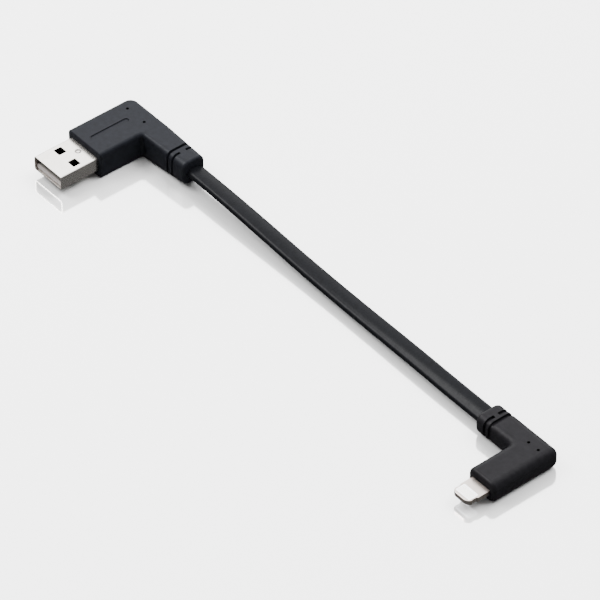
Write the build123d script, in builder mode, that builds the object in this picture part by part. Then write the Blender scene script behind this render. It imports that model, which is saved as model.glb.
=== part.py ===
from build123d import *
import os
from math import radians, tan

# A short flat charging cable with a right-angle plug at each end.
# +X runs along the cord from the wide plug to the slim plug, both metal tips point along -Y,
# and +Z is up. The origin is the middle of the cable's footprint, on the surface it lies on.
# Units are millimetres.

os.makedirs("parts", exist_ok=True)

# ---- Driving dimensions: the layout ----
AXIS_SPAN = 166.4  # between the centre lines of the two plugs
DEPTH = 34.8  # from the wide plug's mouth to its back

# ---- Driving dimensions: the wide plug ----
WIDE_BODY_W = 14.4
WIDE_BODY_H = 8.5
WIDE_BODY_FRONT = 12.6  # bare shell in front of the body
WIDE_EDGE_R = 1.1
WIDE_CORNER_R = 2.6
WIDE_ARM_W = 7.8
WIDE_ARM_END = 24.7  # from the plug's centre line to the end of the strain relief
WIDE_TAPER = 15.6  # length of the tapering end of the strain relief
WIDE_END_W = 7.6
WIDE_END_H = 7.7  # the underside rises to this; the top stays level
WIDE_END_R = 2.4
WIDE_RING_FROM_AXIS = 17.6
WIDE_SLOT_FROM_AXIS = 19.6

SHELL_W = 12.0
SHELL_H = 4.5
SHELL_SHEET = 0.3
SHELL_R = 0.7
SHELL_LENGTH = 18.4
SEAM_GAP = 0.08
WINDOW_W = 2.7
WINDOW_L = 2.5
WINDOW_X = 3.15
WINDOW_FROM_MOUTH = 6.65
DIMPLE_R = 0.85
DIMPLE_DEPTH = 0.12
DIMPLE_FROM_MOUTH = 10.4

TONGUE_W = 11.0
TONGUE_T = 1.6
TONGUE_RECESS = 0.5
TONGUE_EDGE_R = 0.4
TONGUE_BLOCK_START = 11.8
TONGUE_BLOCK_END = 17.8
CONTACT_X = (3.5, 1.0, -1.0, -3.5)
CONTACT_START = (1.2, 2.2, 2.2, 1.2)
CONTACT_W = 1.0
CONTACT_T = 0.25
CONTACT_TAIL_DROP = 0.3
CONTACT_TAIL_END = 22.0

# ---- Driving dimensions: the slim plug ----
SLIM_BODY_W = 10.2
SLIM_BODY_H = 6.5
SLIM_TIP = 4.1  # the slim tip stands this far behind the wide plug's mouth
SLIM_TAB_BARE = 7.2
SLIM_BACK = 33.6
SLIM_EDGE_R = 2.3
SLIM_CORNER_R = 1.9
SLIM_ARM_W = 8.3
SLIM_ARM_END = 18.4
SLIM_TAPER = 11.8
SLIM_END_W = 8.6
SLIM_END_H = 6.3
SLIM_END_R = 2.3
SLIM_RING_FROM_AXIS = 13.5
SLIM_SLOT_FROM_AXIS = 15.3

TAB_W = 6.7
TAB_T = 1.5
TAB_TIP_R = 1.9
TAB_REAR = 12.5  # length of the whole tab, the part inside the body included
TAB_FLANGE_W = 7.2
TAB_FLANGE_START = 8.3
TAB_WINDOW_W = 5.4
TAB_WINDOW_START = 0.75
TAB_WINDOW_L = 3.2
TAB_SLOT_T = 0.7
NOTCH_START = 1.3
NOTCH_L = 1.8
NOTCH_DEPTH = 0.35
PAD_COUNT = 8
PAD_PITCH = 0.62
PAD_W = 0.4
PAD_L = 2.3
PAD_T = 0.12

BOARD_W = 5.2
BOARD_T = 0.6
BOARD_START = 4.2  # from the tip, just behind the contact block
BOARD_L = 15.5
LEAD_X = (-1.8, -0.6, 0.6, 1.8)
LEAD_GAP = 0.1  # solder under each core

MARK_FROM_MOUTH = 21.5
MARK_L = 13.0
MARK_W = 1.8
MARK_DEPTH = 0.25

# ---- Driving dimensions: shared details ----
PIN_HOLE_R = 0.45
PIN_HOLE_DEPTH = 0.6
WIDE_FRONT_R = 0.4
SLIM_FRONT_R = 1.0
WIDE_RIM_R = 0.8
SLIM_RIM_R = 1.2
CAN_SHEET = 0.3
COVER_WALL = 0.8  # least thickness of the outer moulding over the screening can
BLOCK_R = 0.8
BLOCK_CHAMFER = 0.6  # round the back of each inner block
CAN_CHAMFER = 0.75
THROAT_W = 4.7
THROAT_H = 2.6
THROAT_R = 0.5
GROOVE_CUT = 16.0  # a square larger than any strain relief

# ---- Driving dimensions: the flat cord ----
CORD_W = 5.4
CORD_T = 2.2
CORE_R = 0.42
CORE_CLEARANCE = 0.03
CORE_Y = (-1.65, -0.55, 0.55, 1.65)
CORE_BEND_R = 2.5
LEAD_RISE_R = 5.0

# ---- Places that follow from the driving dimensions ----
FRONT_Y = -DEPTH / 2
BACK_Y = DEPTH / 2
WIDE_X = -(AXIS_SPAN + SLIM_BODY_W / 2 - WIDE_BODY_W / 2) / 2
SLIM_X = WIDE_X + AXIS_SPAN
WIDE_Z = WIDE_BODY_H / 2
SLIM_Z = SLIM_BODY_H / 2
TIP_Y = FRONT_Y + SLIM_TIP
SLIM_FRONT_Y = TIP_Y + SLIM_TAB_BARE
SLIM_BACK_Y = FRONT_Y + SLIM_BACK

# The cord's route, from inside the wide plug to inside the slim one. It leaves the wide plug
# level, sags a little between the two plugs, and comes level into the lower slim plug.
ROUTE = [
    (-72.2, 13.90, 4.35),
    (-53.2, 13.90, 4.35),
    (-32.2, 13.60, 3.90),
    (-10.2, 13.22, 2.95),
    (12.8, 12.90, 2.70),
    (34.8, 12.55, 3.10),
    (55.8, 12.15, 3.05),
    (74.8, 12.15, 3.05),
]
CORD_Y_WIDE, CORD_Z_WIDE = ROUTE[0][1:]
CORD_Y_SLIM, CORD_Z_SLIM = ROUTE[-1][1:]
BOARD_TOP = SLIM_Z + BOARD_T / 2
LEAD_Z = BOARD_TOP + CORE_R + LEAD_GAP


def corner_radii(points):
    """Radius at each inner point: 0.45 of the shorter run over the tangent of half the turn."""
    radii = []
    for before, here, after in zip(points, points[1:], points[2:]):
        run_in = Vector(*here) - Vector(*before)
        run_out = Vector(*after) - Vector(*here)
        shorter = min(run_in.length, run_out.length)
        turn = run_in.get_angle(run_out)
        radii.append(0.45 * shorter / tan(radians(turn / 2)))
    return radii


def front_plane(y):
    """A plane across the plugs at this Y, seen from the front; +Y is a negative extrusion."""
    return Plane.XZ.offset(-y)


def write(piece, name):
    """Label a finished sub-part and write it as its own node."""
    piece.part.label = name
    export_step(piece.part, f"parts/{name}.step")


ROUTE_RADII = corner_radii(ROUTE)

# ==================== the cord ====================

# The space that the cord fills in the mouldings around it, without the bores for its cores.
with BuildPart() as cord_space:
    with BuildLine() as cord_line:
        FilletPolyline(*ROUTE, radius=ROUTE_RADII)
    with BuildSketch(Plane.YZ.offset(ROUTE[0][0])):
        with Locations((CORD_Y_WIDE, CORD_Z_WIDE)):
            SlotOverall(CORD_W, CORD_T)
    sweep()

with BuildPart() as cord_jacket:
    with BuildLine():
        FilletPolyline(*ROUTE, radius=ROUTE_RADII)
    with BuildSketch(Plane.YZ.offset(ROUTE[0][0])) as jacket_section:
        with Locations((CORD_Y_WIDE, CORD_Z_WIDE)):
            SlotOverall(CORD_W, CORD_T)
            with Locations(*[(y, 0) for y in CORE_Y]):
                Circle(CORE_R + CORE_CLEARANCE, mode=Mode.SUBTRACT)
    sweep()
write(cord_jacket, "cord_jacket")

# Each insulated core runs whole from its contact in the wide plug, round a bend, along the
# jacket, round the opposite bend and onto its pad in the slim plug.
CORE_NAMES = ("ground", "data_plus", "data_minus", "power")
cores = []
for name, core_y, contact_x, lead_x in zip(CORE_NAMES, CORE_Y, CONTACT_X, LEAD_X):
    wide_x = WIDE_X + contact_x
    slim_x = SLIM_X + lead_x
    start = (wide_x, FRONT_Y + CONTACT_TAIL_END - 1.8, CORD_Z_WIDE)
    end = (slim_x, TIP_Y + BOARD_START + BOARD_L - 2.2, LEAD_Z)
    points = [start, (wide_x, CORD_Y_WIDE + core_y, CORD_Z_WIDE)]
    points += [(x, y + core_y, z) for x, y, z in ROUTE[1:]]
    points += [(slim_x, CORD_Y_SLIM + core_y, LEAD_Z), end]
    radii = [CORE_BEND_R, *ROUTE_RADII, LEAD_RISE_R, CORE_BEND_R]
    with BuildPart() as core:
        with BuildLine():
            FilletPolyline(*points, radius=radii)
        with BuildSketch(front_plane(start[1])):
            with Locations((wide_x, CORD_Z_WIDE)):
                Circle(CORE_R)
        sweep()
    write(core, f"cord_core_{name}")
    cores.append(core.part)

# ==================== the wide plug ====================

SHELL_TOP = WIDE_Z + SHELL_H / 2
SHELL_BOTTOM = WIDE_Z - SHELL_H / 2
WINDOWS = [(WIDE_X + x, FRONT_Y + WINDOW_FROM_MOUTH) for x in (-WINDOW_X, WINDOW_X)]

with BuildPart() as wide_shell:
    with BuildSketch(front_plane(FRONT_Y)):
        with Locations((WIDE_X, WIDE_Z)):
            RectangleRounded(SHELL_W, SHELL_H, SHELL_R)
            RectangleRounded(
                SHELL_W - 2 * SHELL_SHEET,
                SHELL_H - 2 * SHELL_SHEET,
                SHELL_R - SHELL_SHEET,
                mode=Mode.SUBTRACT,
            )
    extrude(amount=-SHELL_LENGTH)
    # Two windows above and two below, where a socket's springs catch.
    with BuildSketch(Plane.XY):
        with Locations(*WINDOWS):
            RectangleRounded(WINDOW_W, WINDOW_L, 0.2)
    extrude(amount=WIDE_BODY_H, mode=Mode.SUBTRACT)
    # The folded sheet meets along the middle of the underside.
    with BuildSketch(Plane.XY):
        with Locations((WIDE_X, FRONT_Y + SHELL_LENGTH / 2)):
            Rectangle(SEAM_GAP, SHELL_LENGTH)
    extrude(amount=SHELL_BOTTOM + SHELL_SHEET, mode=Mode.SUBTRACT)
    # A small pressed dimple between the windows and the body.
    with BuildSketch(Plane.XY.offset(SHELL_TOP)):
        with Locations((WIDE_X, FRONT_Y + DIMPLE_FROM_MOUTH)):
            Circle(DIMPLE_R)
    extrude(amount=-DIMPLE_DEPTH, mode=Mode.SUBTRACT)
write(wide_shell, "wide_shell")

TONGUE_BOTTOM = SHELL_BOTTOM + SHELL_SHEET
TONGUE_TOP = TONGUE_BOTTOM + TONGUE_T
TAIL_TOP = TONGUE_TOP - CONTACT_TAIL_DROP

# Four flat contacts, each with a step down to the tail that its core is soldered to.
contacts = []
for number, (contact_x, reach) in enumerate(zip(CONTACT_X, CONTACT_START), start=1):
    y_tip = FRONT_Y + reach
    y_step = FRONT_Y + TONGUE_BLOCK_END + 0.5
    y_tail = FRONT_Y + CONTACT_TAIL_END
    with BuildPart() as contact:
        with BuildSketch(Plane.YZ.offset(WIDE_X + contact_x)):
            with BuildLine():
                Polyline(
                    (y_tip, TONGUE_TOP - CONTACT_T),
                    (y_tip + 0.3, TONGUE_TOP),
                    (y_step, TONGUE_TOP),
                    (y_step + 0.4, TAIL_TOP),
                    (y_tail, TAIL_TOP),
                    (y_tail, TAIL_TOP - CONTACT_T),
                    (y_step + 0.2, TAIL_TOP - CONTACT_T),
                    (y_step - 0.2, TONGUE_TOP - CONTACT_T),
                    close=True,
                )
            make_face()
        extrude(amount=CONTACT_W / 2, both=True)
    write(contact, f"wide_contact_{number}")
    contacts.append(contact.part)

with BuildPart() as wide_tongue:
    with BuildSketch(Plane.XY.offset(TONGUE_BOTTOM)):
        with Locations((WIDE_X, FRONT_Y + (TONGUE_RECESS + TONGUE_BLOCK_START) / 2)):
            Rectangle(TONGUE_W, TONGUE_BLOCK_START - TONGUE_RECESS)
    extrude(amount=TONGUE_T)
    chamfer(wide_tongue.edges().group_by(Axis.Y)[0].filter_by(Axis.X), length=0.25)
    fillet(wide_tongue.edges().group_by(Axis.Z)[0].filter_by(Axis.Y), radius=TONGUE_EDGE_R)
    with BuildSketch(front_plane(FRONT_Y + TONGUE_BLOCK_START)):
        with Locations((WIDE_X, WIDE_Z)):
            RectangleRounded(TONGUE_W, SHELL_H - 2 * SHELL_SHEET, TONGUE_EDGE_R)
    extrude(amount=-(TONGUE_BLOCK_END - TONGUE_BLOCK_START))
    for contact in contacts:
        add(contact, mode=Mode.SUBTRACT)
write(wide_tongue, "wide_tongue")

with BuildPart() as wide_solder:
    for contact_x in CONTACT_X:
        with BuildSketch(Plane.XY.offset(TAIL_TOP)):
            with Locations((WIDE_X + contact_x, FRONT_Y + CONTACT_TAIL_END - 1.0)):
                RectangleRounded(1.2, 1.8, 0.3)
        extrude(amount=0.85)
    chamfer(wide_solder.edges().group_by(Axis.Z)[-1], length=0.25)
    for core in cores:
        add(core, mode=Mode.SUBTRACT)
write(wide_solder, "wide_solder")

# Inside the moulding are a block behind the shell, the folded can around that block, and a grip
# on the cord. The grip joins the block by a throat that leads the cores through the can.
WIDE_BLOCK_W = WIDE_BODY_W - 2 * (COVER_WALL + CAN_SHEET)
WIDE_BLOCK_H = WIDE_BODY_H - 2 * (COVER_WALL + CAN_SHEET)
WIDE_BLOCK_START = FRONT_Y + SHELL_LENGTH
WIDE_BLOCK_L = BACK_Y - COVER_WALL - CAN_SHEET - WIDE_BLOCK_START
WIDE_GRIP_START = WIDE_BLOCK_W / 2 + CAN_SHEET
WIDE_GRIP_END = 14.0
WIDE_GRIP_W = 6.4
WIDE_GRIP_H = 5.0

with BuildPart() as wide_block_space:
    with BuildSketch(front_plane(WIDE_BLOCK_START)):
        with Locations((WIDE_X, WIDE_Z)):
            RectangleRounded(WIDE_BLOCK_W, WIDE_BLOCK_H, BLOCK_R)
    extrude(amount=-WIDE_BLOCK_L)
    chamfer(wide_block_space.faces().sort_by(Axis.Y)[-1].edges(), length=BLOCK_CHAMFER)

with BuildPart() as wide_can_space:
    with BuildSketch(front_plane(WIDE_BLOCK_START - CAN_SHEET)):
        with Locations((WIDE_X, WIDE_Z)):
            RectangleRounded(WIDE_BLOCK_W + 2 * CAN_SHEET, WIDE_BLOCK_H + 2 * CAN_SHEET, BLOCK_R + CAN_SHEET)
    extrude(amount=-(WIDE_BLOCK_L + 2 * CAN_SHEET))
    chamfer(wide_can_space.faces().sort_by(Axis.Y)[-1].edges(), length=CAN_CHAMFER)

with BuildPart() as wide_grip_space:
    with BuildSketch(Plane.YZ.offset(WIDE_X)):
        with Locations((CORD_Y_WIDE, WIDE_Z)):
            RectangleRounded(THROAT_W, THROAT_H, THROAT_R)
    extrude(amount=WIDE_GRIP_START)
    with BuildSketch(Plane.YZ.offset(WIDE_X + WIDE_GRIP_START)):
        with Locations((CORD_Y_WIDE - 0.15, WIDE_Z)):
            RectangleRounded(WIDE_GRIP_W, WIDE_GRIP_H, BLOCK_R)
    extrude(amount=WIDE_GRIP_END - WIDE_GRIP_START)

with BuildPart() as wide_inner_mould:
    add(wide_block_space.part)
    add(wide_grip_space.part)
    for piece in [*cores, *contacts, wide_solder.part, cord_space.part]:
        add(piece, mode=Mode.SUBTRACT)
write(wide_inner_mould, "wide_inner_mould")

# The can's front wall fits round the back of the shell.
with BuildPart() as wide_can:
    add(wide_can_space.part)
    add(wide_block_space.part, mode=Mode.SUBTRACT)
    add(wide_grip_space.part, mode=Mode.SUBTRACT)
    with BuildSketch(front_plane(WIDE_BLOCK_START - CAN_SHEET)):
        with Locations((WIDE_X, WIDE_Z)):
            RectangleRounded(SHELL_W, SHELL_H, SHELL_R)
    extrude(amount=-CAN_SHEET, mode=Mode.SUBTRACT)
write(wide_can, "wide_can")

WIDE_ARM_Y = BACK_Y - WIDE_ARM_W / 2
WIDE_END_Y = BACK_Y - WIDE_END_W / 2
WIDE_END_Z = WIDE_BODY_H - WIDE_END_H / 2
WIDE_TAPER_X = WIDE_X + WIDE_ARM_END - WIDE_TAPER
WIDE_END_X = WIDE_X + WIDE_ARM_END
WIDE_RING_X = WIDE_X + WIDE_RING_FROM_AXIS
WIDE_RING_W = 0.9
WIDE_SLOT_X = WIDE_X + WIDE_SLOT_FROM_AXIS
WIDE_SLOT_W = 0.8
WIDE_NECK_W = 6.6
WIDE_NECK_H = 6.0
WIDE_NECK_R = 2.0
WIDE_BRIDGE_W = 2.0
WIDE_PIN_Y = FRONT_Y + 30.5
WIDE_PIN_X = 3.7

with BuildPart() as wide_overmould:
    left = WIDE_X - WIDE_BODY_W / 2
    right = WIDE_X + WIDE_BODY_W / 2
    front = FRONT_Y + WIDE_BODY_FRONT
    arm_front = BACK_Y - WIDE_ARM_W
    with BuildSketch(Plane.XY):
        with BuildLine():
            Polyline(
                (left, front),
                (right, front),
                (right, arm_front),
                (WIDE_TAPER_X, arm_front),
                (WIDE_TAPER_X, BACK_Y),
                (left, BACK_Y),
                close=True,
            )
        make_face()
    extrude(amount=WIDE_BODY_H)
    uprights = wide_overmould.edges().filter_by(Axis.Z)
    outer_corner = uprights.filter_by_position(Axis.Y, BACK_Y - 0.1, BACK_Y + 0.1).sort_by(Axis.X)[0]
    inner_corner = uprights.sort_by_distance((right, arm_front, WIDE_Z))[0]
    fillet(outer_corner, radius=WIDE_CORNER_R)
    fillet(inner_corner, radius=1.0)
    flat_edges = wide_overmould.edges().group_by(Axis.Z)[0] + wide_overmould.edges().group_by(Axis.Z)[-1]
    long_edges = flat_edges.filter_by(lambda e: e.center().Y > front + 0.1)
    long_edges = long_edges.filter_by(lambda e: e.center().X < WIDE_TAPER_X - 0.1)
    fillet(long_edges, radius=WIDE_EDGE_R)
    fillet(wide_overmould.faces().sort_by(Axis.Y)[0].edges(), radius=WIDE_FRONT_R)
    # The strain relief narrows to its rounded end.
    with BuildSketch(Plane.YZ.offset(WIDE_TAPER_X)):
        with Locations((WIDE_ARM_Y, WIDE_Z)):
            RectangleRounded(WIDE_ARM_W, WIDE_BODY_H, WIDE_EDGE_R)
    with BuildSketch(Plane.YZ.offset(WIDE_END_X)):
        with Locations((WIDE_END_Y, WIDE_END_Z)):
            RectangleRounded(WIDE_END_W, WIDE_END_H, WIDE_END_R)
    loft()
    fillet(wide_overmould.faces().sort_by(Axis.X)[-1].edges(), radius=WIDE_RIM_R)
    # One groove goes all the way round; the next is bridged above and below.
    with BuildSketch(Plane.YZ.offset(WIDE_RING_X)):
        with Locations((WIDE_END_Y, WIDE_END_Z)):
            Rectangle(GROOVE_CUT, GROOVE_CUT)
            RectangleRounded(WIDE_NECK_W, WIDE_NECK_H, WIDE_NECK_R, mode=Mode.SUBTRACT)
    extrude(amount=WIDE_RING_W, mode=Mode.SUBTRACT)
    with BuildSketch(Plane.YZ.offset(WIDE_SLOT_X)):
        with Locations((WIDE_END_Y, WIDE_END_Z)):
            Rectangle(GROOVE_CUT, GROOVE_CUT)
            Rectangle(WIDE_BRIDGE_W, GROOVE_CUT, mode=Mode.SUBTRACT)
            RectangleRounded(WIDE_NECK_W, WIDE_NECK_H, WIDE_NECK_R, mode=Mode.SUBTRACT)
    extrude(amount=WIDE_SLOT_W, mode=Mode.SUBTRACT)
    # Two pin marks on top.
    with BuildSketch(Plane.XY.offset(WIDE_BODY_H)):
        with Locations(*[(WIDE_X + x, WIDE_PIN_Y) for x in (-WIDE_PIN_X, WIDE_PIN_X)]):
            Circle(PIN_HOLE_R)
    extrude(amount=-PIN_HOLE_DEPTH, mode=Mode.SUBTRACT)
    # A plain shallow recess along the middle of the top.
    with BuildSketch(Plane.XY.offset(WIDE_BODY_H)):
        with Locations((WIDE_X, FRONT_Y + MARK_FROM_MOUTH)):
            SlotOverall(MARK_L, MARK_W, rotation=90)
    extrude(amount=-MARK_DEPTH, mode=Mode.SUBTRACT)
    # The inside: the shell's back end, the can, the grip and the cord.
    with BuildSketch(front_plane(FRONT_Y)):
        with Locations((WIDE_X, WIDE_Z)):
            RectangleRounded(SHELL_W, SHELL_H, SHELL_R)
    extrude(amount=-SHELL_LENGTH, mode=Mode.SUBTRACT)
    for piece in (wide_can_space, wide_grip_space, cord_space):
        add(piece.part, mode=Mode.SUBTRACT)
write(wide_overmould, "wide_overmould")

# ==================== the slim plug ====================

WINDOW_Y = TIP_Y + TAB_WINDOW_START + TAB_WINDOW_L / 2
TAB_HALF = TAB_W / 2
SLOT_START = TIP_Y + TAB_WINDOW_START + TAB_WINDOW_L
TAB_END = TIP_Y + TAB_REAR

with BuildPart() as slim_tab:
    with BuildSketch(Plane.XY.offset(SLIM_Z)) as outline:
        with Locations((SLIM_X, TIP_Y + TAB_REAR / 2)):
            Rectangle(TAB_W, TAB_REAR)
        fillet(outline.vertices().group_by(Axis.Y)[0], radius=TAB_TIP_R)
        with Locations((SLIM_X, (TIP_Y + TAB_FLANGE_START + TAB_END) / 2)):
            Rectangle(TAB_FLANGE_W, TAB_REAR - TAB_FLANGE_START)
        # The detent notches in both sides.
        with Locations(*[(SLIM_X + side * TAB_HALF, TIP_Y + NOTCH_START + NOTCH_L / 2) for side in (-1, 1)]):
            SlotOverall(NOTCH_L, 2 * NOTCH_DEPTH, rotation=90, mode=Mode.SUBTRACT)
    extrude(amount=TAB_T / 2, both=True)
    tip_edges = slim_tab.edges().filter_by(lambda e: e.center().Y < TIP_Y + NOTCH_START)
    fillet(tip_edges.group_by(Axis.Z)[0] + tip_edges.group_by(Axis.Z)[-1], radius=0.2)
    with BuildSketch(Plane.XY.offset(SLIM_Z)):
        with Locations((SLIM_X, WINDOW_Y)):
            RectangleRounded(TAB_WINDOW_W, TAB_WINDOW_L, 0.35)
    extrude(amount=TAB_T / 2, both=True, mode=Mode.SUBTRACT)
    # The slot that the circuit board slides into.
    with BuildSketch(Plane.XY.offset(SLIM_Z)):
        with Locations((SLIM_X, (SLOT_START + TAB_END) / 2)):
            Rectangle(TAB_WINDOW_W, TAB_END - SLOT_START + 0.4)
    extrude(amount=TAB_SLOT_T / 2, both=True, mode=Mode.SUBTRACT)
write(slim_tab, "slim_tab")

# The slot's own space, which no moulding runs into.
with BuildPart() as slot_space:
    with BuildSketch(front_plane(SLOT_START)):
        with Locations((SLIM_X, SLIM_Z)):
            Rectangle(TAB_WINDOW_W, TAB_SLOT_T)
    extrude(amount=-(TAB_END - SLOT_START))

PAD_X = [SLIM_X + (n - (PAD_COUNT - 1) / 2) * PAD_PITCH for n in range(PAD_COUNT)]

for side, name in ((1, "slim_pads_top"), (-1, "slim_pads_bottom")):
    with BuildPart() as pads:
        with BuildSketch(Plane.XY.offset(SLIM_Z + side * TAB_T / 2)):
            with Locations(*[(x, WINDOW_Y) for x in PAD_X]):
                RectangleRounded(PAD_W, PAD_L, 0.15)
        extrude(amount=-side * PAD_T)
    write(pads, name)
    if side > 0:
        pads_top = pads.part
    else:
        pads_bottom = pads.part

with BuildPart() as slim_contact_block:
    with BuildSketch(Plane.XY.offset(SLIM_Z)):
        with Locations((SLIM_X, WINDOW_Y)):
            RectangleRounded(TAB_WINDOW_W, TAB_WINDOW_L, 0.35)
    extrude(amount=TAB_T / 2, both=True)
    add(pads_top, mode=Mode.SUBTRACT)
    add(pads_bottom, mode=Mode.SUBTRACT)
write(slim_contact_block, "slim_contact_block")

BOARD_Y = TIP_Y + BOARD_START + BOARD_L / 2
with BuildPart() as slim_board:
    with BuildSketch(Plane.XY.offset(SLIM_Z)):
        with Locations((SLIM_X, BOARD_Y)):
            RectangleRounded(BOARD_W, BOARD_L, 0.2)
    extrude(amount=BOARD_T / 2, both=True)
write(slim_board, "slim_board")

CHIP_Y = TIP_Y + TAB_REAR + 1.7
with BuildPart() as slim_chip:
    with BuildSketch(Plane.XY.offset(BOARD_TOP)):
        with Locations((SLIM_X - 0.6, CHIP_Y)):
            Rectangle(2.6, 2.2)
    extrude(amount=0.7)
    chamfer(slim_chip.edges().group_by(Axis.Z)[-1], length=0.12)
write(slim_chip, "slim_chip")

with BuildPart() as slim_capacitors:
    with BuildSketch(Plane.XY.offset(BOARD_TOP)):
        with Locations((SLIM_X + 1.6, CHIP_Y - 0.5), (SLIM_X + 1.6, CHIP_Y + 0.6)):
            Rectangle(1.0, 0.5)
    extrude(amount=0.5)
write(slim_capacitors, "slim_capacitors")

with BuildPart() as slim_solder:
    for lead_x in LEAD_X:
        with BuildSketch(Plane.XY.offset(BOARD_TOP)):
            with Locations((SLIM_X + lead_x, TIP_Y + BOARD_START + BOARD_L - 1.6)):
                RectangleRounded(1.06, 1.6, 0.3)
        extrude(amount=0.75)
    for core in cores:
        add(core, mode=Mode.SUBTRACT)
write(slim_solder, "slim_solder")

SLIM_BLOCK_W = SLIM_BODY_W - 2 * (COVER_WALL + CAN_SHEET)
SLIM_BLOCK_H = SLIM_BODY_H - 2 * (COVER_WALL + CAN_SHEET)
SLIM_BLOCK_START = SLIM_FRONT_Y + 2.0
SLIM_BLOCK_L = SLIM_BACK_Y - COVER_WALL - CAN_SHEET - SLIM_BLOCK_START
SLIM_GRIP_START = SLIM_BLOCK_W / 2 + CAN_SHEET
SLIM_GRIP_END = 10.5
SLIM_GRIP_W = 6.2
SLIM_GRIP_H = 3.6

with BuildPart() as slim_block_space:
    with BuildSketch(front_plane(SLIM_BLOCK_START)):
        with Locations((SLIM_X, SLIM_Z)):
            RectangleRounded(SLIM_BLOCK_W, SLIM_BLOCK_H, BLOCK_R)
    extrude(amount=-SLIM_BLOCK_L)
    chamfer(slim_block_space.faces().sort_by(Axis.Y)[-1].edges(), length=BLOCK_CHAMFER)

# The can is open at the front, where the tab comes out.
with BuildPart() as slim_can_space:
    with BuildSketch(front_plane(SLIM_BLOCK_START)):
        with Locations((SLIM_X, SLIM_Z)):
            RectangleRounded(SLIM_BLOCK_W + 2 * CAN_SHEET, SLIM_BLOCK_H + 2 * CAN_SHEET, BLOCK_R + CAN_SHEET)
    extrude(amount=-(SLIM_BLOCK_L + CAN_SHEET))
    chamfer(slim_can_space.faces().sort_by(Axis.Y)[-1].edges(), length=CAN_CHAMFER)

with BuildPart() as slim_grip_space:
    with BuildSketch(Plane.YZ.offset(SLIM_X)):
        with Locations((CORD_Y_SLIM, SLIM_Z)):
            RectangleRounded(THROAT_W, THROAT_H, THROAT_R)
    extrude(amount=-SLIM_GRIP_START)
    with BuildSketch(Plane.YZ.offset(SLIM_X - SLIM_GRIP_START)):
        with Locations((CORD_Y_SLIM, SLIM_Z)):
            RectangleRounded(SLIM_GRIP_W, SLIM_GRIP_H, BLOCK_R)
    extrude(amount=SLIM_GRIP_START - SLIM_GRIP_END)

with BuildPart() as slim_inner_mould:
    add(slim_block_space.part)
    add(slim_grip_space.part)
    inside = [slim_tab, slot_space, slim_board, slim_chip, slim_capacitors, slim_solder, cord_space]
    for piece in [*cores, *[item.part for item in inside]]:
        add(piece, mode=Mode.SUBTRACT)
write(slim_inner_mould, "slim_inner_mould")

# The screening can comes in two halves that meet at mid height.
for side, name in ((1, "slim_can_top"), (-1, "slim_can_bottom")):
    with BuildPart() as slim_can:
        add(slim_can_space.part)
        for piece in (slim_block_space, slim_grip_space, slim_tab):
            add(piece.part, mode=Mode.SUBTRACT)
        keep = Keep.TOP if side > 0 else Keep.BOTTOM
        split(bisect_by=Plane.XY.offset(SLIM_Z), keep=keep)
    write(slim_can, name)

SLIM_ARM_Y = SLIM_BACK_Y - SLIM_ARM_W / 2
SLIM_END_Y = SLIM_BACK_Y - SLIM_END_W / 2
SLIM_END_Z = SLIM_BODY_H - SLIM_END_H / 2
SLIM_TAPER_X = SLIM_X - SLIM_ARM_END + SLIM_TAPER
SLIM_END_X = SLIM_X - SLIM_ARM_END
SLIM_RING_X = SLIM_X - SLIM_RING_FROM_AXIS
SLIM_RING_W = 1.2
SLIM_SLOT_X = SLIM_X - SLIM_SLOT_FROM_AXIS
SLIM_SLOT_W = 1.0
SLIM_NECK_W = 7.2
SLIM_NECK_H = 4.7
SLIM_NECK_R = 1.2
SLIM_BRIDGE_W = 1.4
SLIM_PIN_Y = FRONT_Y + 28.95
SLIM_PIN_X = 1.85

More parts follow.
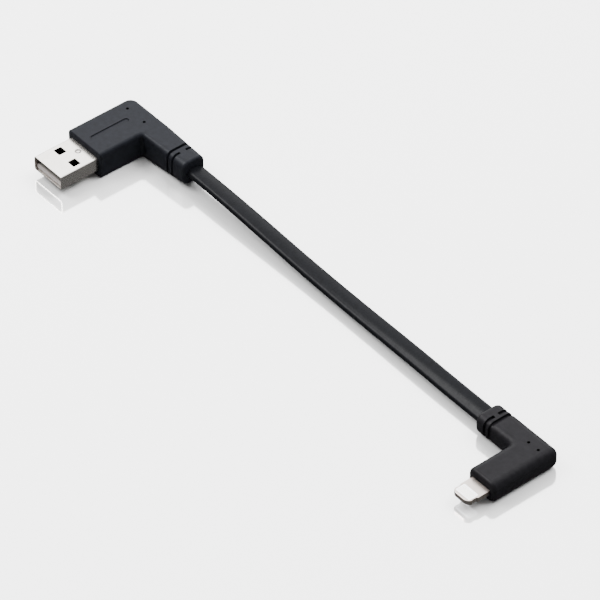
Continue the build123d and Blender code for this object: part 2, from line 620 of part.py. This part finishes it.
with BuildPart() as slim_overmould:
    left = SLIM_X - SLIM_BODY_W / 2
    right = SLIM_X + SLIM_BODY_W / 2
    arm_front = SLIM_BACK_Y - SLIM_ARM_W
    with BuildSketch(Plane.XY):
        with BuildLine():
            Polyline(
                (left, SLIM_FRONT_Y),
                (right, SLIM_FRONT_Y),
                (right, SLIM_BACK_Y),
                (SLIM_TAPER_X, SLIM_BACK_Y),
                (SLIM_TAPER_X, arm_front),
                (left, arm_front),
                close=True,
            )
        make_face()
    extrude(amount=SLIM_BODY_H)
    uprights = slim_overmould.edges().filter_by(Axis.Z)
    fillet(uprights.sort_by_distance((right, SLIM_BACK_Y, SLIM_Z))[0], radius=SLIM_CORNER_R)
    uprights = slim_overmould.edges().filter_by(Axis.Z)
    fillet(uprights.sort_by_distance((left, arm_front, SLIM_Z))[0], radius=0.8)
    flat_edges = slim_overmould.edges().group_by(Axis.Z)[0] + slim_overmould.edges().group_by(Axis.Z)[-1]
    long_edges = flat_edges.filter_by(lambda e: e.center().Y > SLIM_FRONT_Y + 0.1)
    long_edges = long_edges.filter_by(lambda e: e.center().X > SLIM_TAPER_X + 0.1)
    fillet(long_edges, radius=SLIM_EDGE_R)
    fillet(slim_overmould.faces().sort_by(Axis.Y)[0].edges(), radius=SLIM_FRONT_R)
    with BuildSketch(Plane.YZ.offset(SLIM_TAPER_X)):
        with Locations((SLIM_ARM_Y, SLIM_Z)):
            RectangleRounded(SLIM_ARM_W, SLIM_BODY_H, SLIM_EDGE_R)
    with BuildSketch(Plane.YZ.offset(SLIM_END_X)):
        with Locations((SLIM_END_Y, SLIM_END_Z)):
            RectangleRounded(SLIM_END_W, SLIM_END_H, SLIM_END_R)
    loft()
    fillet(slim_overmould.faces().sort_by(Axis.X)[0].edges(), radius=SLIM_RIM_R)
    with BuildSketch(Plane.YZ.offset(SLIM_RING_X)):
        with Locations((SLIM_END_Y, SLIM_END_Z)):
            Rectangle(GROOVE_CUT, GROOVE_CUT)
            RectangleRounded(SLIM_NECK_W, SLIM_NECK_H, SLIM_NECK_R, mode=Mode.SUBTRACT)
    extrude(amount=SLIM_RING_W, mode=Mode.SUBTRACT)
    with BuildSketch(Plane.YZ.offset(SLIM_SLOT_X)):
        with Locations((SLIM_END_Y, SLIM_END_Z)):
            Rectangle(GROOVE_CUT, GROOVE_CUT)
            Rectangle(SLIM_BRIDGE_W, GROOVE_CUT, mode=Mode.SUBTRACT)
            RectangleRounded(SLIM_NECK_W, SLIM_NECK_H, SLIM_NECK_R, mode=Mode.SUBTRACT)
    extrude(amount=SLIM_SLOT_W, mode=Mode.SUBTRACT)
    with BuildSketch(Plane.XY.offset(SLIM_BODY_H)):
        with Locations(*[(SLIM_X + x, SLIM_PIN_Y) for x in (-SLIM_PIN_X, SLIM_PIN_X)]):
            Circle(PIN_HOLE_R)
    extrude(amount=-PIN_HOLE_DEPTH, mode=Mode.SUBTRACT)
    # The inside: the can, the grip, the tab and the cord.
    for piece in (slim_can_space, slim_grip_space, slim_tab, slot_space, slim_board, cord_space):
        add(piece.part, mode=Mode.SUBTRACT)
write(slim_overmould, "slim_overmould")

# ---- What the cord measures ----
line_length = sum(edge.length for edge in cord_line.edges())
swept = jacket_section.sketch.area * line_length
print("cord radii, mm:", [round(radius) for radius in ROUTE_RADII])
print(f"cord length {line_length:.1f} mm; jacket volume {cord_jacket.part.volume:.1f} mm3,")
print(f"its section times its length {swept:.1f} mm3")
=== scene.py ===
import math

import bmesh
import bpy
from mathutils import Matrix, Vector


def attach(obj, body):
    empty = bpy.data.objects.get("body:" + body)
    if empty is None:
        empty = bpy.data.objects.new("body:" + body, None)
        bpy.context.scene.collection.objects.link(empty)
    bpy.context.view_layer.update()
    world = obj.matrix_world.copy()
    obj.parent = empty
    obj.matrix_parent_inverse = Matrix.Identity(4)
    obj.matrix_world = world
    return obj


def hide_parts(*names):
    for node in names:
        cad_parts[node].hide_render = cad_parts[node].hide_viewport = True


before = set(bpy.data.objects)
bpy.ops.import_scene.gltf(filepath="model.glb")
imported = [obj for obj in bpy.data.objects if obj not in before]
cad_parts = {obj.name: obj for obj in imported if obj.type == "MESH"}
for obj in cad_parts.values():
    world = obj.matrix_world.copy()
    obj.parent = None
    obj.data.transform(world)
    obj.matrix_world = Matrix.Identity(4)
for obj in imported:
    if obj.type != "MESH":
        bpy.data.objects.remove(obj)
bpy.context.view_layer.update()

MM = 0.001

# ---------------------------------------------------------------- the camera
LOOK_AT = Vector((-2.70, 5.75, -0.15)) * MM
AZIMUTH = math.radians(50.447)
ELEVATION = math.radians(42.022)
DISTANCE = 1.45277
LENS = 328.0
SENSOR = 36.0
CLIP_START = 0.1
CLIP_END = 20.0


def turned_from(place, away):
    """The matrix of something at place whose back is turned towards away."""
    return Matrix.Translation(place) @ away.to_track_quat("Z", "Y").to_matrix().to_4x4()


back = Vector((
    math.sin(AZIMUTH) * math.cos(ELEVATION),
    -math.cos(AZIMUTH) * math.cos(ELEVATION),
    math.sin(ELEVATION),
))
camera_data = bpy.data.cameras.new("camera")
camera_data.lens = LENS
camera_data.sensor_width = SENSOR
camera_data.clip_start = CLIP_START
camera_data.clip_end = CLIP_END
camera = bpy.data.objects.new("camera", camera_data)
camera.matrix_world = turned_from(LOOK_AT + back * DISTANCE, back)
bpy.context.scene.collection.objects.link(camera)
bpy.context.scene.camera = camera


# ------------------------------------------------------------- material help
class Nodes:
    """A material's node tree, with short ways to add and join nodes, in object coordinates."""

    def __init__(self, name):
        self.material = bpy.data.materials.new(name)
        self.material.use_nodes = True
        self.tree = self.material.node_tree
        self.shader = self.tree.nodes["Principled BSDF"]
        self.coords = self.add("ShaderNodeTexCoord").outputs["Object"]

    def add(self, kind, **values):
        node = self.tree.nodes.new(kind)
        for key, value in values.items():
            setattr(node, key, value)
        return node

    def link(self, source, target):
        self.tree.links.new(source, target)

    def set(self, **values):
        """Set the shader's inputs, with _ for a space in their names."""
        for key, value in values.items():
            self.shader.inputs[key.replace("_", " ")].default_value = value

    def noise(self, scale, detail=3.0, stretch=(1, 1, 1)):
        """A noise that is finer along the axes with a larger stretch."""
        mapping = self.add("ShaderNodeMapping")
        mapping.inputs["Scale"].default_value = stretch
        self.link(self.coords, mapping.inputs["Vector"])
        noise = self.add("ShaderNodeTexNoise")
        noise.inputs["Scale"].default_value = scale
        noise.inputs["Detail"].default_value = detail
        self.link(mapping.outputs["Vector"], noise.inputs["Vector"])
        return noise.outputs["Fac"]

    def ramp(self, fac, low, high, start=0.3, end=0.7):
        """From colour low at start to colour high at end."""
        ramp = self.add("ShaderNodeValToRGB")
        first, last = ramp.color_ramp.elements
        first.position, last.position = start, end
        first.color, last.color = (*low, 1), (*high, 1)
        self.link(fac, ramp.inputs["Fac"])
        return ramp.outputs["Color"]

    def span(self, fac, low, high, start=0.3, end=0.7):
        """From number low at start to number high at end."""
        node = self.add("ShaderNodeMapRange")
        node.inputs["From Min"].default_value = start
        node.inputs["From Max"].default_value = end
        node.inputs["To Min"].default_value = low
        node.inputs["To Max"].default_value = high
        self.link(fac, node.inputs["Value"])
        return node.outputs["Result"]

    def bump(self, height, distance, strength=1.0, under=None):
        """A relief of that distance, on top of the relief under it."""
        node = self.add("ShaderNodeBump")
        node.inputs["Strength"].default_value = strength
        node.inputs["Distance"].default_value = distance
        self.link(height, node.inputs["Height"])
        if under is not None:
            self.link(under, node.inputs["Normal"])
        return node.outputs["Normal"]


def shade(colour, factor):
    """The colour made lighter or darker, at most white."""
    return tuple(min(1.0, c * factor) for c in colour)


FRONT_START = 0.0001
FRONT_END = 0.0005


def rubber(name, colour, rough, level, grain, tint=(1, 1, 1), front=None):
    """A matt elastomer: faint mottling, a fine moulded grain and slight wear in the gloss.

    A moulding's cut front face, at front in Y, is rougher than the rest.
    """
    n = Nodes(name)
    mottling = n.ramp(n.noise(700.0, 4.0), shade(colour, 0.82), shade(colour, 1.18))
    n.link(mottling, n.shader.inputs["Base Color"])
    gloss = n.span(n.noise(1500.0, 4.0), rough - 0.05, rough + 0.05)
    if front is not None:
        place = n.add("ShaderNodeSeparateXYZ")
        n.link(n.coords, place.inputs["Vector"])
        extra = n.span(place.outputs["Y"], 1.0, 0.0, front + FRONT_START, front + FRONT_END)
        total = n.add("ShaderNodeMath", operation="MAXIMUM")
        n.link(gloss, total.inputs[0])
        n.link(extra, total.inputs[1])
        gloss = total.outputs[0]
    n.link(gloss, n.shader.inputs["Roughness"])
    broad = n.bump(n.noise(900.0, 2.0), 0.00001, 0.3)
    n.link(n.bump(n.noise(grain, 3.0), 0.000015, 0.6, broad), n.shader.inputs["Normal"])
    n.set(Specular_IOR_Level=level, Specular_Tint=(*tint, 1))
    return n.material


def plastic(name, colour, rough, level=0.4, grain=6000.0):
    """A moulded plastic: slight flow marks, and a fine spark-eroded grain."""
    n = Nodes(name)
    flow = n.noise(450.0, 3.0, stretch=(1, 0.35, 1))
    marks = n.ramp(flow, shade(colour, 0.9), shade(colour, 1.06))
    n.link(marks, n.shader.inputs["Base Color"])
    gloss = n.span(n.noise(1800.0, 3.0), rough - 0.06, rough + 0.06)
    n.link(gloss, n.shader.inputs["Roughness"])
    n.link(n.bump(n.noise(grain, 3.0), 0.00001, 0.4), n.shader.inputs["Normal"])
    n.set(Specular_IOR_Level=level)
    return n.material


def metal(name, colour, rough, brush=(1, 1, 1)):
    """A plated sheet: faint tarnish, drawing lines along one direction, and fine scratches."""
    n = Nodes(name)
    tarnish = n.ramp(n.noise(600.0, 4.0), shade(colour, 0.94), shade(colour, 1.04))
    n.link(tarnish, n.shader.inputs["Base Color"])
    lines = n.noise(2600.0, 4.0, stretch=brush)
    n.link(n.span(lines, rough - 0.06, rough + 0.06), n.shader.inputs["Roughness"])
    n.link(n.bump(lines, 0.000006, 0.3), n.shader.inputs["Normal"])
    n.set(Metallic=1.0)
    return n.material


def painted_shade_inside(material, colour, deep_shade, mouth, depth=0.003):
    """Painted shade: the colour falls off to the dark deep_shade one behind the mouth, where
    little light gets in.
    """
    tree = material.node_tree
    base = tree.nodes["Principled BSDF"].inputs["Base Color"]
    coords = tree.nodes.new("ShaderNodeTexCoord")
    split = tree.nodes.new("ShaderNodeSeparateXYZ")
    span = tree.nodes.new("ShaderNodeMapRange")
    ramp = tree.nodes.new("ShaderNodeValToRGB")
    shade_and_mottle = tree.nodes.new("ShaderNodeMix")
    span.inputs["From Min"].default_value = mouth
    span.inputs["From Max"].default_value = mouth + depth
    near, far = ramp.color_ramp.elements
    near.color, far.color = (*colour, 1), (*deep_shade, 1)
    shade_and_mottle.data_type = "RGBA"
    shade_and_mottle.blend_type = "MULTIPLY"
    shade_and_mottle.inputs["Factor"].default_value = 0.3
    tree.links.new(coords.outputs["Object"], split.inputs["Vector"])
    tree.links.new(split.outputs["Y"], span.inputs["Value"])
    tree.links.new(span.outputs["Result"], ramp.inputs["Fac"])
    tree.links.new(ramp.outputs["Color"], shade_and_mottle.inputs["A"])
    tree.links.new(base.links[0].from_socket, shade_and_mottle.inputs["B"])
    tree.links.new(shade_and_mottle.outputs["Result"], base)
    return material


# Drawing lines that run along Y.
LENGTHWISE = (6, 0.5, 6)
MATERIALS = {
    "plug_steel": metal("plug_steel", (0.78, 0.745, 0.70), 0.26, LENGTHWISE),
    # Dark steel for the dimple's lip: painted shade that draws the dimple's outline.
    "dimple_shade_steel": metal("dimple_shade_steel", (0.20, 0.19, 0.18), 0.35),
    "tab_steel": metal("tab_steel", (0.50, 0.445, 0.41), 0.34, (1, 5, 1)),
    "can_steel": metal("can_steel", (0.62, 0.62, 0.60), 0.36, (5, 0.6, 5)),
    # Painted shade: the contacts darken to near black behind the plug's mouth.
    "contact_metal": painted_shade_inside(
        metal("contact_metal", (0.88, 0.72, 0.42), 0.24, LENGTHWISE),
        colour=(0.80, 0.66, 0.40),
        deep_shade=(0.02, 0.018, 0.015),
        mouth=-0.0165,
    ),
    "pad_metal": metal("pad_metal", (0.93, 0.90, 0.84), 0.28, LENGTHWISE),
    "solder": metal("solder", (0.68, 0.69, 0.70), 0.42),
    # Painted shade: the tongue is painted much darker than its plastic at the mouth, and near
    # black behind it.
    "tongue_plastic": painted_shade_inside(
        plastic("tongue_plastic", (0.8, 0.8, 0.8), 0.5, 0.2),
        colour=(0.20, 0.18, 0.17),
        deep_shade=(0.004, 0.004, 0.004),
        mouth=-0.0168,
    ),
    "block_plastic": plastic("block_plastic", (0.88, 0.88, 0.90), 0.35),
    "inner_plastic": plastic("inner_plastic", (0.80, 0.78, 0.74), 0.5),
    "wide_cover": rubber(
        "wide_cover", (0.0056, 0.0060, 0.0078), 0.42, 0.064, 9000.0,
        tint=(0.94, 0.97, 1.0), front=-0.0048,
    ),
    "slim_cover": rubber(
        "slim_cover", (0.0052, 0.0050, 0.0058), 0.40, 0.054, 9000.0,
        tint=(1.0, 0.98, 1.0), front=-0.0061,
    ),
    "jacket_rubber": rubber("jacket_rubber", (0.0034, 0.0036, 0.0044), 0.28, 0.042, 2500.0),
    "core_black": plastic("core_black", (0.02, 0.02, 0.02), 0.4),
    "core_green": plastic("core_green", (0.03, 0.28, 0.07), 0.4),
    "core_white": plastic("core_white", (0.80, 0.80, 0.77), 0.4),
    "core_red": plastic("core_red", (0.45, 0.02, 0.02), 0.4),
    "board": plastic("board", (0.02, 0.16, 0.06), 0.3, 0.5, 3000.0),
    "chip": plastic("chip", (0.015, 0.015, 0.018), 0.55),
    "capacitor": plastic("capacitor", (0.40, 0.28, 0.16), 0.5),
}
FINISHES = {
    "wide_shell": "plug_steel",
    "wide_tongue": "tongue_plastic",
    "wide_contact_1": "contact_metal",
    "wide_contact_2": "contact_metal",
    "wide_contact_3": "contact_metal",
    "wide_contact_4": "contact_metal",
    "wide_solder": "solder",
    "wide_inner_mould": "inner_plastic",
    "wide_can": "can_steel",
    "wide_overmould": "wide_cover",
    "cord_jacket": "jacket_rubber",
    "cord_core_ground": "core_black",
    "cord_core_data_plus": "core_green",
    "cord_core_data_minus": "core_white",
    "cord_core_power": "core_red",
    "slim_tab": "tab_steel",
    "slim_contact_block": "block_plastic",
    "slim_pads_top": "pad_metal",
    "slim_pads_bottom": "pad_metal",
    "slim_board": "board",
    "slim_chip": "chip",
    "slim_capacitors": "capacitor",
    "slim_solder": "solder",
    "slim_inner_mould": "inner_plastic",
    "slim_can_top": "can_steel",
    "slim_can_bottom": "can_steel",
    "slim_overmould": "slim_cover",
}
for node_name, finish in FINISHES.items():
    for material_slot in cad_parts[node_name].material_slots:
        material_slot.material = MATERIALS[finish]


# ------------------------------------------------------------ shape help
def skin(name, mesh):
    """An object of that bmesh: its four-sided faces are smooth, its end faces flat."""
    bmesh.ops.recalc_face_normals(mesh, faces=mesh.faces)
    data = bpy.data.meshes.new(name)
    mesh.to_mesh(data)
    mesh.free()
    for polygon in data.polygons:
        polygon.use_smooth = len(polygon.vertices) == 4
    obj = bpy.data.objects.new(name, data)
    bpy.context.scene.collection.objects.link(obj)
    return obj


# ------------------------------------------------------- the pressed dimple
LIP_CENTRE = Vector((-0.08215, -0.0070, 0.006498))
LIP_INNER = 0.00050
LIP_OUTER = 0.00095
LIP_HEIGHT = 0.00009
LIP_LEAST = 0.15
LIP_TURN = 0.9


def pressed_ring(name, centre, inner, outer, height, segments=64, steps=8):
    """The raised lip of a pressed dimple: high at two opposite sides and low between them."""
    mesh = bmesh.new()
    rings = []
    for i in range(segments):
        angle = 2 * math.pi * i / segments
        lift = LIP_LEAST + (1 - LIP_LEAST) * math.cos(angle + LIP_TURN) ** 2
        ring = []
        for k in range(steps + 1):
            t = k / steps
            radius = inner + (outer - inner) * t
            rise = height * lift * math.sin(math.pi * t)
            spot = Vector((radius * math.cos(angle), radius * math.sin(angle), rise))
            ring.append(mesh.verts.new(centre + spot))
        rings.append(ring)
    for i in range(segments):
        this, following = rings[i], rings[(i + 1) % segments]
        for k in range(steps):
            mesh.faces.new((this[k], this[k + 1], following[k + 1], following[k]))
        mesh.faces.new((this[0], following[0], following[steps], this[steps]))
    return skin(name, mesh)


dimple = pressed_ring("shell_dimple_lip", LIP_CENTRE, LIP_INNER, LIP_OUTER, LIP_HEIGHT)
# The lip is painted dark: painted shade of the dimple's outline.
dimple.data.materials.append(MATERIALS["dimple_shade_steel"])
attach(dimple, "root")

# ------------------------------------------------------------------ the cord
CORD_ROUTE = [
    (-0.0722, 0.01390, 0.00435),
    (-0.0532, 0.01390, 0.00435),
    (-0.0322, 0.01360, 0.00390),
    (-0.0102, 0.01322, 0.00295),
    (0.0128, 0.01290, 0.00270),
    (0.0348, 0.01255, 0.00310),
    (0.0558, 0.01215, 0.00305),
    (0.0748, 0.01215, 0.00305),
]
CORD_WIDTH = 0.0054
CORD_HEIGHT = 0.0022
CORD_CROWN = 0.00020
# The bare cord starts at the first angle, in degrees, and turns evenly by the second.
TWIST_START = -0.058
TWIST_RUN = 0.124
TWIST_FROM = -7
TWIST_BY = 29
LINE_RESOLUTION = 24


def route_points(points, resolution):
    """Points along the smooth line that a NURBS spline draws through its control points."""
    curve = bpy.data.curves.new("cord_line", "CURVE")
    curve.dimensions = "3D"
    spline = curve.splines.new("NURBS")
    spline.points.add(len(points) - 1)
    for point, place in zip(spline.points, points):
        point.co = (*place, 1)
    spline.order_u = 3
    spline.use_endpoint_u = True
    curve.resolution_u = resolution
    obj = bpy.data.objects.new("cord_line", curve)
    mesh = bpy.data.meshes.new_from_object(obj)
    line = [v.co.copy() for v in mesh.vertices]
    bpy.data.objects.remove(obj)
    bpy.data.meshes.remove(mesh)
    bpy.data.curves.remove(curve)
    return line


def slot_outline(width, height, crown, side_points=14, flat_points=12):
    """A flat cord's section: round sides, and faces that rise by crown in their middle."""
    radius = height / 2
    half = width / 2 - radius
    outline = []
    for sign in (1, -1):
        for i in range(side_points + 1):
            angle = -math.pi / 2 + math.pi * i / side_points
            reach = half + radius * math.cos(angle)
            outline.append((sign * reach, sign * radius * math.sin(angle)))
        for i in range(1, flat_points):
            t = 1 - 2 * i / flat_points
            outline.append((sign * half * t, sign * (radius + crown * (1 - t * t))))
    return outline


def ribbon(name, line, outline, twist_at):
    """A closed skin of that section along the line, turned about the line by twist_at(x)."""
    mesh = bmesh.new()
    rings = []
    for i, place in enumerate(line):
        ahead = (line[min(i + 1, len(line) - 1)] - line[max(i - 1, 0)]).normalized()
        across = Vector((0, 0, 1)).cross(ahead).normalized()
        upward = ahead.cross(across)
        turn = Matrix.Rotation(twist_at(place.x), 3, ahead)
        across, upward = turn @ across, turn @ upward
        rings.append([mesh.verts.new(place + across * u + upward * v) for u, v in outline])
    for ring, following in zip(rings, rings[1:]):
        for k in range(len(outline)):
            beside = (k + 1) % len(outline)
            mesh.faces.new((ring[k], ring[beside], following[beside], following[k]))
    mesh.faces.new(list(reversed(rings[0])))
    mesh.faces.new(rings[-1])
    return skin(name, mesh)


def cord_twist(x):
    """The cord leans back a little at the wide plug and forward at the slim one."""
    along = min(1.0, max(0.0, (x - TWIST_START) / TWIST_RUN))
    return math.radians(TWIST_FROM + TWIST_BY * along)


cord_line = route_points(CORD_ROUTE, LINE_RESOLUTION)
cord_outline = slot_outline(CORD_WIDTH, CORD_HEIGHT, CORD_CROWN)
cord = ribbon("cord_ribbon", cord_line, cord_outline, cord_twist)
cord.data.materials.append(MATERIALS["jacket_rubber"])
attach(cord, "root")
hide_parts("cord_jacket")

# ------------------------------------------------------------ floor and light
FLOOR_HALF = 4
FLOOR_CORNERS = [
    (FLOOR_HALF * x, FLOOR_HALF * y, 0) for x, y in ((-1, -1), (1, -1), (1, 1), (-1, 1))
]
FLOOR_IOR = 6.5
FADE_HALF = 0.14
floor_mesh = bpy.data.meshes.new("floor")
floor_mesh.from_pydata(FLOOR_CORNERS, [], [(0, 1, 2, 3)])
floor = bpy.data.objects.new("floor", floor_mesh)
bpy.context.scene.collection.objects.link(floor)
n = Nodes("floor")
# Painted shade: a little darker towards the slim plug, where the light falls off.
across = n.add("ShaderNodeSeparateXYZ")
n.link(n.coords, across.inputs["Vector"])
fade = n.span(across.outputs["X"], 0.0, 1.0, -FADE_HALF, FADE_HALF)
pale = n.ramp(fade, (0.97, 0.97, 0.97), (0.78, 0.78, 0.78), 0.0, 1.0)
n.link(pale, n.shader.inputs["Base Color"])
n.link(n.span(n.noise(40.0, 2.0), 0.09, 0.11), n.shader.inputs["Roughness"])
n.set(IOR=FLOOR_IOR)
floor.data.materials.append(n.material)
# The sides of the cable reflect the dim room in front of it, not the bright surface.
floor.visible_glossy = False


def area_light(name, place, size, power):
    """A square soft light at place, turned towards the origin."""
    light = bpy.data.lights.new(name, "AREA")
    light.shape = "RECTANGLE"
    light.size, light.size_y = size, size
    light.energy = power
    obj = bpy.data.objects.new(name, light)
    obj.matrix_world = turned_from(place, Vector(place))
    bpy.context.scene.collection.objects.link(obj)
    return obj


key = area_light("key", (0.5, 1.2, 1.7), size=1.4, power=125.0)
key.visible_glossy = False
area_light("fill", (-0.9, -0.6, 1.25), size=0.8, power=42.0)

# A broad bright dome over the far left, falling off to a dim room everywhere else.
DOME_TOWARDS = Vector((-0.55, 0.18, 0.82)).normalized()
DOME_STRENGTH = 5.0
DOME_EDGE = 0.35
DOME_FULL = 0.85
world = bpy.data.worlds.new("world")
world.use_nodes = True
tree = world.node_tree
sky_coords = tree.nodes.new("ShaderNodeTexCoord")
towards = tree.nodes.new("ShaderNodeVectorMath")
towards.operation = "DOT_PRODUCT"
towards.inputs[1].default_value = DOME_TOWARDS
sky_ramp = tree.nodes.new("ShaderNodeValToRGB")
tree.links.new(sky_coords.outputs["Generated"], towards.inputs[0])
tree.links.new(towards.outputs["Value"], sky_ramp.inputs["Fac"])
dim, bright = sky_ramp.color_ramp.elements
dim.position, dim.color = DOME_EDGE, (0.03, 0.03, 0.03, 1)
bright.position, bright.color = DOME_FULL, (1, 1, 1, 1)
tree.links.new(sky_ramp.outputs["Color"], tree.nodes["Background"].inputs["Color"])
tree.nodes["Background"].inputs["Strength"].default_value = DOME_STRENGTH
bpy.context.scene.world = world
